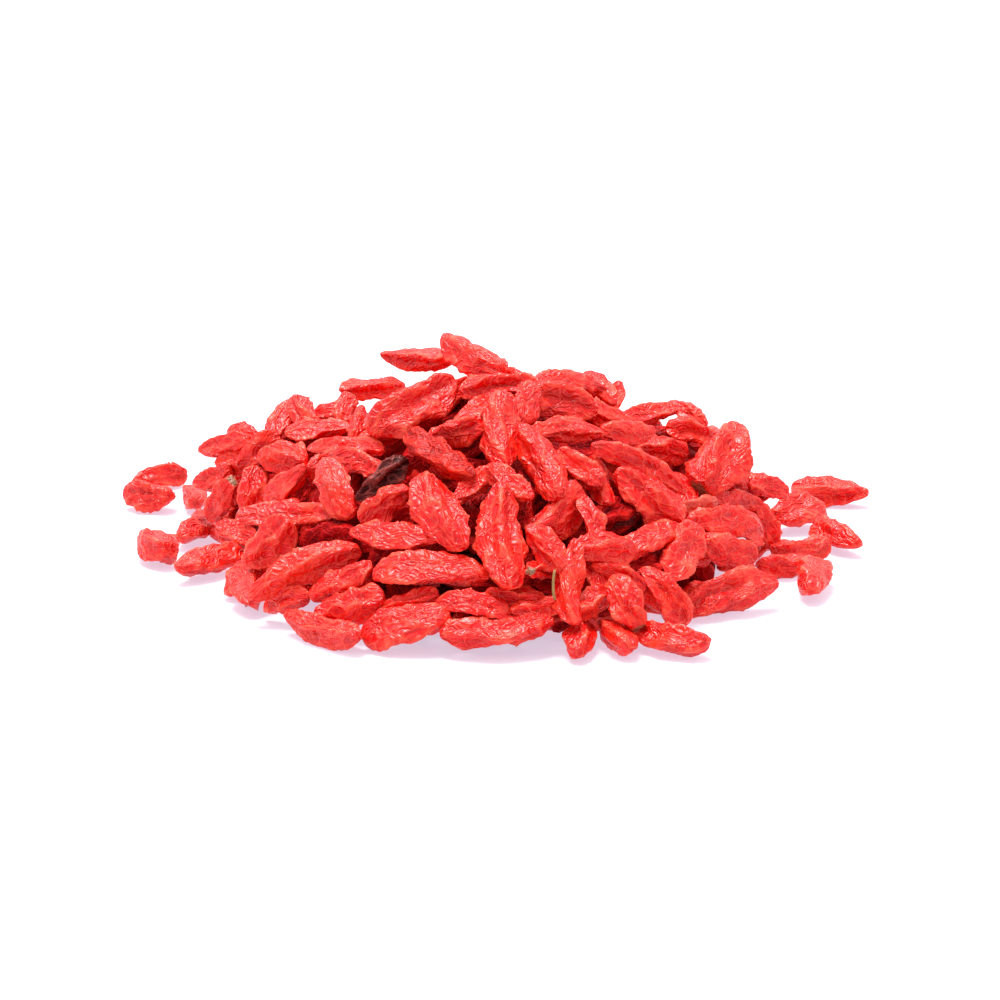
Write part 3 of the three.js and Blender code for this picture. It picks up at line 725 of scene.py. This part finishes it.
def skin_group():
    """The skin's colour, roughness and height, from its four colours."""
    group = bpy.data.node_groups.new("shrunken_skin", "ShaderNodeTree")
    face = group.interface
    for name in ("Fold_Shade", "Flat", "Crest", "Warm"):
        face.new_socket(name, in_out="INPUT", socket_type="NodeSocketColor")
    face.new_socket("Color", in_out="OUTPUT", socket_type="NodeSocketColor")
    face.new_socket("Roughness", in_out="OUTPUT", socket_type="NodeSocketFloat")
    face.new_socket("Height", in_out="OUTPUT", socket_type="NodeSocketFloat")
    nodes = group.nodes
    links = group.links

    def node(kind, **settings):
        made = nodes.new("ShaderNode" + kind)
        for key, value in settings.items():
            setattr(made, key, value)
        return made

    def plug(socket, value):
        if isinstance(value, (int, float, tuple)):
            socket.default_value = value
        else:
            links.new(value, socket)

    def attribute(name, output):
        return node("Attribute", attribute_name=name, attribute_type="GEOMETRY").outputs[output]

    def math_node(operation, first, second):
        made = node("Math", operation=operation, use_clamp=True)
        plug(made.inputs[0], first)
        plug(made.inputs[1], second)
        return made.outputs[0]

    def mix(share, first, second):
        made = node("Mix", data_type="RGBA")
        plug(made.inputs["Factor"], share)
        plug(made.inputs["A"], first)
        plug(made.inputs["B"], second)
        return made.outputs["Result"]

    def ramp(value, low, high, start=0.0, end=1.0):
        made = node("MapRange", interpolation_type="SMOOTHSTEP")
        plug(made.inputs["Value"], value)
        plug(made.inputs["From Min"], low)
        plug(made.inputs["From Max"], high)
        plug(made.inputs["To Min"], start)
        plug(made.inputs["To Max"], end)
        return made.outputs["Result"]

    def clouds(vector, scale, detail, output):
        made = node("TexNoise")
        plug(made.inputs["Vector"], vector)
        plug(made.inputs["Scale"], scale)
        plug(made.inputs["Detail"], float(detail))
        return made.outputs[output]

    def cells(vector, scale):
        made = node("TexVoronoi", feature="DISTANCE_TO_EDGE")
        plug(made.inputs["Vector"], vector)
        plug(made.inputs["Scale"], scale)
        return made.outputs["Distance"]

    inputs = nodes.new("NodeGroupInput")
    outputs = nodes.new("NodeGroupOutput")
    skin = attribute("skin", "Vector")
    drawn = node("VectorMath", operation="MULTIPLY")
    plug(drawn.inputs[0], skin)
    plug(drawn.inputs[1], SKIN_STRETCH)
    bent = node("VectorMath", operation="MULTIPLY_ADD")
    plug(bent.inputs[0], clouds(skin, BEND_SCALE, 0, "Color"))
    plug(bent.inputs[1], BEND_BY)
    plug(bent.inputs[2], drawn.outputs[0])
    bent_skin = bent.outputs[0]

    net = cells(bent_skin, NET_SCALE)
    line = ramp(net, LINE_WIDE, 0.0)
    rim = ramp(net, RIM_WIDE, 0.0)
    pad = ramp(net, 0.0, PAD_WIDE)
    crossed = node("VectorMath", operation="MULTIPLY")
    plug(crossed.inputs[0], bent_skin)
    plug(crossed.inputs[1], CROSS_STRETCH)
    cross_line = ramp(cells(crossed.outputs[0], CROSS_SCALE), CROSS_WIDE, 0.0)
    patch = ramp(clouds(skin, PATCH_SCALE, 1, "Fac"), *PATCH_EDGE)
    cross = math_node("MULTIPLY", cross_line, patch)
    grain = clouds(skin, GRAIN_SCALE, 2, "Fac")
    small_line = ramp(cells(bent_skin, SMALL_SCALE), SMALL_WIDE, 0.0)
    finer = [(pad, PAD_HIGH), (cross, CROSS_HIGH), (small_line, SMALL_HIGH), (grain, GRAIN_HIGH)]
    height = math_node("MULTIPLY", line, LINE_HIGH)
    for relief, high in finer:
        height = math_node("ADD", height, math_node("MULTIPLY", relief, high))
    links.new(height, outputs.inputs["Height"])

    crest = attribute("crest", "Fac")
    # Folds: painted shade, a darker colour where the crest value is low.
    color = mix(ramp(crest, 0.0, FOLD_DEPTH), inputs.outputs["Fold_Shade"], inputs.outputs["Flat"])
    # Crests and net rims: painted paler, partly as pale dry skin and partly as painted highlight.
    pale = math_node("ADD", ramp(crest, *PALE_RANGE), math_node("MULTIPLY", rim, RIM_PALE))
    color = mix(pale, color, inputs.outputs["Crest"])
    blotch = ramp(clouds(skin, BLOTCH_SCALE, 1, "Fac"), *BLOTCH_EDGE)
    warm = math_node("MULTIPLY", blotch, attribute("tone", "Fac"))
    color = mix(warm, color, inputs.outputs["Warm"])
    color = mix(attribute("dry", "Fac"), color, SCAR_COLOR)
    links.new(color, outputs.inputs["Color"])
    links.new(ramp(grain, *GRAIN_RANGE, *ROUGH_RANGE), outputs.inputs["Roughness"])
    return group


SKIN = skin_group()


def skin_material(name, gloss, fold_shade, flat, crest, warm):
    """A skin with its own gloss, and its colours in folds as painted shade, on sides, on crests as
    partly painted highlight, and in spots.
    """
    material = bpy.data.materials.new(name)
    material.use_nodes = True
    nodes = material.node_tree.nodes
    links = material.node_tree.links
    shader = nodes["Principled BSDF"]
    group = nodes.new("ShaderNodeGroup")
    group.node_tree = SKIN
    for socket, color in (("Fold_Shade", fold_shade), ("Flat", flat), ("Crest", crest), ("Warm", warm)):
        group.inputs[socket].default_value = (*color, 1)
    bump = nodes.new("ShaderNodeBump")
    bump.inputs["Strength"].default_value = BUMP_STRENGTH
    bump.inputs["Distance"].default_value = BUMP_DISTANCE
    links.new(group.outputs["Height"], bump.inputs["Height"])
    links.new(bump.outputs["Normal"], shader.inputs["Normal"])
    links.new(group.outputs["Color"], shader.inputs["Base Color"])
    links.new(group.outputs["Roughness"], shader.inputs["Roughness"])
    shader.inputs["Subsurface Weight"].default_value = GLOW_SHARE
    shader.inputs["Subsurface Radius"].default_value = GLOW_REACH
    shader.inputs["Subsurface Scale"].default_value = GLOW_SCALE
    shader.inputs["IOR"].default_value = gloss
    return material


# Strays, foot, flanks, front and crown: the red berries that show from the front, one mesh
# for each stray and one for each part of the heap. Nothing fixes them: they lie loose.
# The fold colour is painted shade, and the crest colour is partly painted highlight.
red_skin = skin_material(
    "red_skin",
    gloss=1.42,
    fold_shade=(0.6, 0.001, 0.003),
    flat=(0.84, 0.005, 0.005),
    crest=(1.0, 0.088, 0.046),
    warm=(0.9, 0.022, 0.004),
)
for index, stray in enumerate(strays):
    name = f"stray_{index + 1}"
    make_piece(f"{name}_skin", [stray], SEEN_MESH, red_skin, "berry_red", name)
make_piece("foot_berries", foot_lying + foot, SEEN_MESH, red_skin, "berry_red", "heap")
make_piece("left_flank_berries", left_flank, SEEN_MESH, red_skin, "berry_red", "heap")
make_piece("front_berries", front, SEEN_MESH, red_skin, "berry_red", "heap")
make_piece("crown_berries", crown, SEEN_MESH, red_skin, "berry_red", "heap")
make_piece("right_flank_berries", right_flank, SEEN_MESH, red_skin, "berry_red", "heap")

# The brown berry, nearly black, with folds painted blacker as painted shade and a dusty pinkish
# grey crest that is partly painted highlight, and the dark red one, whose hollows are painted
# darker as painted shade between orange red ridges that are partly painted highlight.
brown_skin = skin_material(
    "brown_skin",
    gloss=1.2,
    fold_shade=(0.02, 0.001, 0.001),
    flat=(0.065, 0.004, 0.004),
    crest=(0.34, 0.06, 0.05),
    warm=(0.1, 0.006, 0.005),
)
maroon_skin = skin_material(
    "maroon_skin",
    gloss=1.24,
    fold_shade=(0.24, 0.002, 0.002),
    flat=(0.46, 0.004, 0.003),
    crest=(0.85, 0.035, 0.014),
    warm=(0.4, 0.01, 0.004),
)
make_piece("brown_berry_skin", [brown_berry], SEEN_MESH, brown_skin, "berry_brown", "brown_berry")
make_piece("maroon_berry_skin", [maroon_berry], SEEN_MESH, maroon_skin, "berry_maroon", "maroon_berry")

# Back: the red berries behind, of the same skin, in two meshes. They are seen from farther
# away, so their meshes have fewer steps.
BACK_MESH = (40, 32)
BACK_SHARE = len(back) // 2
make_piece("back_berries_1", back[:BACK_SHARE], BACK_MESH, red_skin, "berry_red", "heap")
make_piece("back_berries_2", back[BACK_SHARE:], BACK_MESH, red_skin, "berry_red", "heap")

# Gap berries: whole ones that show a little between the outer ones, one layer further in.
# They are the same dried berries; their skin is painted a deeper red, as painted shade for the shade
# of the others, and is less glossy.
GAP_BERRIES = [
    (23.6, 9.4, 8.5, 5.1, 20, -1),
    (27.7, -0.9, 7.9, 4.8, 10, -1),
    (-25.3, 5.5, 10.3, 5.1, 10, -1),
    (0.3, -2.2, 10.3, 5.1, -10, -1),
    (7.2, 11.5, 10.3, 5.1, 80, -1),
    (-28.6, 20.2, 9.5, 5.1, 20, -1),
]
# This skin is the red one painted darker, as painted shade, with less gloss.
shade_painted_skin = skin_material(
    "shade_painted_skin",
    gloss=1.12,
    fold_shade=(0.1, 0.0, 0.002),
    flat=(0.34, 0.002, 0.004),
    crest=(0.7, 0.02, 0.018),
    warm=(0.4, 0.01, 0.003),
)


def give_look(berry):
    """A drawn shape and skin for a berry that wasn't settled with the outer ones."""
    draw_shape(berry)
    berry.number = len(every_berry)
    berry.tone = draw(0, 1)
    berry.dryness = 0
    berry.hollow = 1
    berry.scarred = False
    every_berry.append(berry)


gap_berries = [seen_berry(*row) for row in GAP_BERRIES]
for berry in gap_berries:
    give_look(berry)
make_piece("gap_berries", gap_berries, BACK_MESH, shade_painted_skin, "berry_red", "heap")

# Inner berries: what shows deep between the outer ones, three layers further in. Each layer
# is its depth, the room between its berries, the places tried, the lowest slope above it
# and its mesh.
INNER_MESH = (20, 14)
DEEP_MESH = (12, 8)
INNER_LAYERS = [
    (4.6, 5.7, 1400, 8, INNER_MESH),
    (9, 6.2, 1100, 10, DEEP_MESH),
    (15, 6.5, 900, 17, DEEP_MESH),
]


def spiral(steps):
    """Places spread evenly over the heap's ground, from the middle outward."""
    for step in range(steps):
        out = SPIRAL_REACH * math.sqrt((step + 0.5) / steps)
        yield out * math.cos(step * SPIRAL_TURN), SPIRAL_AWAY + out * math.sin(step * SPIRAL_TURN)


for number, (low, room, steps, lowest, mesh_steps) in enumerate(INNER_LAYERS):
    layer = []
    for x, y in spiral(steps):
        berry = ruled_berry(x, y, low)
        if slope_height(x, y) >= lowest and has_room(berry, layer, room):
            layer.append(berry)
    for berry in layer:
        give_look(berry)
    # They too wear the darker skin of painted shade.
    make_piece(f"inner_berries_{number + 1}", layer, mesh_steps, shade_painted_skin, "berry_red", "heap")

# Base: the berries at the bottom of the heap, which lie flat on the table side by side and
# carry the rest. At the front they stay further in, where the foot berries hide them.
BASE_LOWEST = 3
BASE_LOWEST_FRONT = 11
BASE_ROOM = 7
BASE_STEPS = 1100
base = []
for x, y in spiral(BASE_STEPS):
    berry = ruled_berry(x, y, 0)
    berry.axis.z = 0
    berry.axis.normalize()
    berry.face = face_toward(Vector((0, 0, 1)), berry.axis)
    berry.middle = Vector((x, y, berry.rest_height()))
    behind = y >= FRONT_ENDS - FRONT_SPREAD * abs(x)
    on_heap = slope_height(x, y) >= (BASE_LOWEST if behind else BASE_LOWEST_FRONT)
    if on_heap and has_room(berry, laid + back + base, BASE_ROOM):
        base.append(berry)
for berry in base:
    give_look(berry)
make_piece("base_berries", base, INNER_MESH, red_skin, "berry_red", "heap")

# Stalk bit: a thin sliver of a dry yellow stalk, a little curved, that is caught upright
# between two berries.
STALK_PLACE = (12.9, -3)
STALK_NEARER = 1.5
STALK_LONG = 4.6
STALK_WIDE = 0.5
STALK_THIN = 0.35
STALK_BEND = 0.25
STALK_CUTS = 6
STALK_SIDES = 10
STALK_END = 0.4
STALK_ROUGH = 0.6
FIBRE_SCALE = 1500
FIBRE_DARK = (0.16, 0.09, 0.02, 1)
FIBRE_PALE = (0.55, 0.36, 0.12, 1)
stalk_neighbour = min(laid, key=lambda berry: off_sight(berry.middle, *STALK_PLACE))
stalk_sight = sight_line(*STALK_PLACE)
stalk_way = (stalk_neighbour.middle - EYE).dot(stalk_sight)
stalk_middle = EYE + stalk_sight * (stalk_way - STALK_NEARER)
stalk_mesh = bmesh.new()
bmesh.ops.create_cone(
    stalk_mesh, cap_ends=True, segments=STALK_SIDES,
    radius1=STALK_WIDE / 2, radius2=STALK_WIDE * STALK_END, depth=STALK_LONG)
long_edges = [edge for edge in stalk_mesh.edges if edge.calc_length() > STALK_LONG / 2]
bmesh.ops.subdivide_edges(stalk_mesh, edges=long_edges, cuts=STALK_CUTS)
for vert in stalk_mesh.verts:
    share = 2 * vert.co.z / STALK_LONG
    across = vert.co.x + STALK_BEND * share * share
    near = vert.co.y * STALK_THIN / STALK_WIDE
    vert.co = (stalk_middle + RIGHT * across + FRONTWARD * near + UP * vert.co.z) * MM
for face in stalk_mesh.faces:
    face.smooth = len(face.verts) == 4
stalk_data = bpy.data.meshes.new("stalk_bit")
stalk_mesh.to_mesh(stalk_data)
stalk_mesh.free()
dry_stalk = bpy.data.materials.new("dry_stalk")
dry_stalk.use_nodes = True
fibre = dry_stalk.node_tree.nodes.new("ShaderNodeTexNoise")
fibre.inputs["Scale"].default_value = FIBRE_SCALE
fibre_color = dry_stalk.node_tree.nodes.new("ShaderNodeMix")
fibre_color.data_type = "RGBA"
fibre_color.inputs["A"].default_value = FIBRE_DARK
fibre_color.inputs["B"].default_value = FIBRE_PALE
stalk_place = dry_stalk.node_tree.nodes.new("ShaderNodeTexCoord")
stalk_shader = dry_stalk.node_tree.nodes["Principled BSDF"]
stalk_shader.inputs["Roughness"].default_value = STALK_ROUGH
dry_stalk.node_tree.links.new(stalk_place.outputs["Object"], fibre.inputs["Vector"])
dry_stalk.node_tree.links.new(fibre.outputs["Fac"], fibre_color.inputs["Factor"])
dry_stalk.node_tree.links.new(fibre_color.outputs["Result"], stalk_shader.inputs["Base Color"])
stalk_data.materials.append(dry_stalk)
stalk_bit = bpy.data.objects.new("stalk_bit", stalk_data)
bpy.context.scene.collection.objects.link(stalk_bit)
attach(stalk_bit, "root")

# Table: a plain white board with a painted glow, light that comes from no lamp: it lifts the
# shadows on the board to a pale lilac and lights the berries from below. It isn't part of the
# object, and it is far wider than the view. Its lengths are in metres.
TABLE_HALF = 3
TABLE_LOW = 0.0001
BOARD_COLOR = (0.4, 0.4, 0.4, 1)
BOARD_ROUGH = 0.8
# The glow is painted light that lightens the board's shadows.
BOARD_GLOW = (0.9, 0.82, 1.0, 1)
BOARD_GLOW_STRENGTH = 0.62
table_mesh = bmesh.new()
bmesh.ops.create_grid(table_mesh, x_segments=1, y_segments=1, size=TABLE_HALF)
for vert in table_mesh.verts:
    vert.co.z = -TABLE_LOW
table_data = bpy.data.meshes.new("table")
table_mesh.to_mesh(table_data)
table_mesh.free()
white = bpy.data.materials.new("white_board")
white.use_nodes = True
board_shader = white.node_tree.nodes["Principled BSDF"]
board_shader.inputs["Base Color"].default_value = BOARD_COLOR
board_shader.inputs["Roughness"].default_value = BOARD_ROUGH
board_shader.inputs["Emission Color"].default_value = BOARD_GLOW
board_shader.inputs["Emission Strength"].default_value = BOARD_GLOW_STRENGTH
table_data.materials.append(white)
table = bpy.data.objects.new("table", table_data)
bpy.context.scene.collection.objects.link(table)

# Light: a wide soft lamp overhead and a little behind, in a white room that is brightest
# above and behind the heap and dim on the viewer's side.
BRIGHT_SIDE = (0, 0.3, 0.95)
ROOM_RANGE = (-0.3, 1)
ROOM_STRENGTH = (0.2, 1.5)
ROOM_COLOR = (1, 1, 1, 1)
LAMP_STRENGTH = 4.4
LAMP_SPREAD = math.radians(28)
LAMP_AIM = Vector((0.15, -0.2, -1))
world = bpy.data.worlds.new("room")
world.use_nodes = True
room = world.node_tree
direction = room.nodes.new("ShaderNodeTexCoord")
facing = room.nodes.new("ShaderNodeVectorMath")
facing.operation = "DOT_PRODUCT"
facing.inputs[1].default_value = BRIGHT_SIDE
fall = room.nodes.new("ShaderNodeMapRange")
fall.inputs["From Min"].default_value = ROOM_RANGE[0]
fall.inputs["From Max"].default_value = ROOM_RANGE[1]
fall.inputs["To Min"].default_value = ROOM_STRENGTH[0]
fall.inputs["To Max"].default_value = ROOM_STRENGTH[1]
room.links.new(direction.outputs["Generated"], facing.inputs[0])
room.links.new(facing.outputs["Value"], fall.inputs["Value"])
room.links.new(fall.outputs["Result"], room.nodes["Background"].inputs["Strength"])
room.nodes["Background"].inputs["Color"].default_value = ROOM_COLOR
bpy.context.scene.world = world
lamp_data = bpy.data.lights.new("soft_lamp", "SUN")
lamp_data.energy = LAMP_STRENGTH
lamp_data.angle = LAMP_SPREAD
lamp = bpy.data.objects.new("soft_lamp", lamp_data)
lamp.rotation_euler = LAMP_AIM.to_track_quat("-Z", "Y").to_euler()
bpy.context.scene.collection.objects.link(lamp)
bpy.context.scene.view_settings.view_transform = "Standard"
bpy.context.scene.view_settings.look = "None"
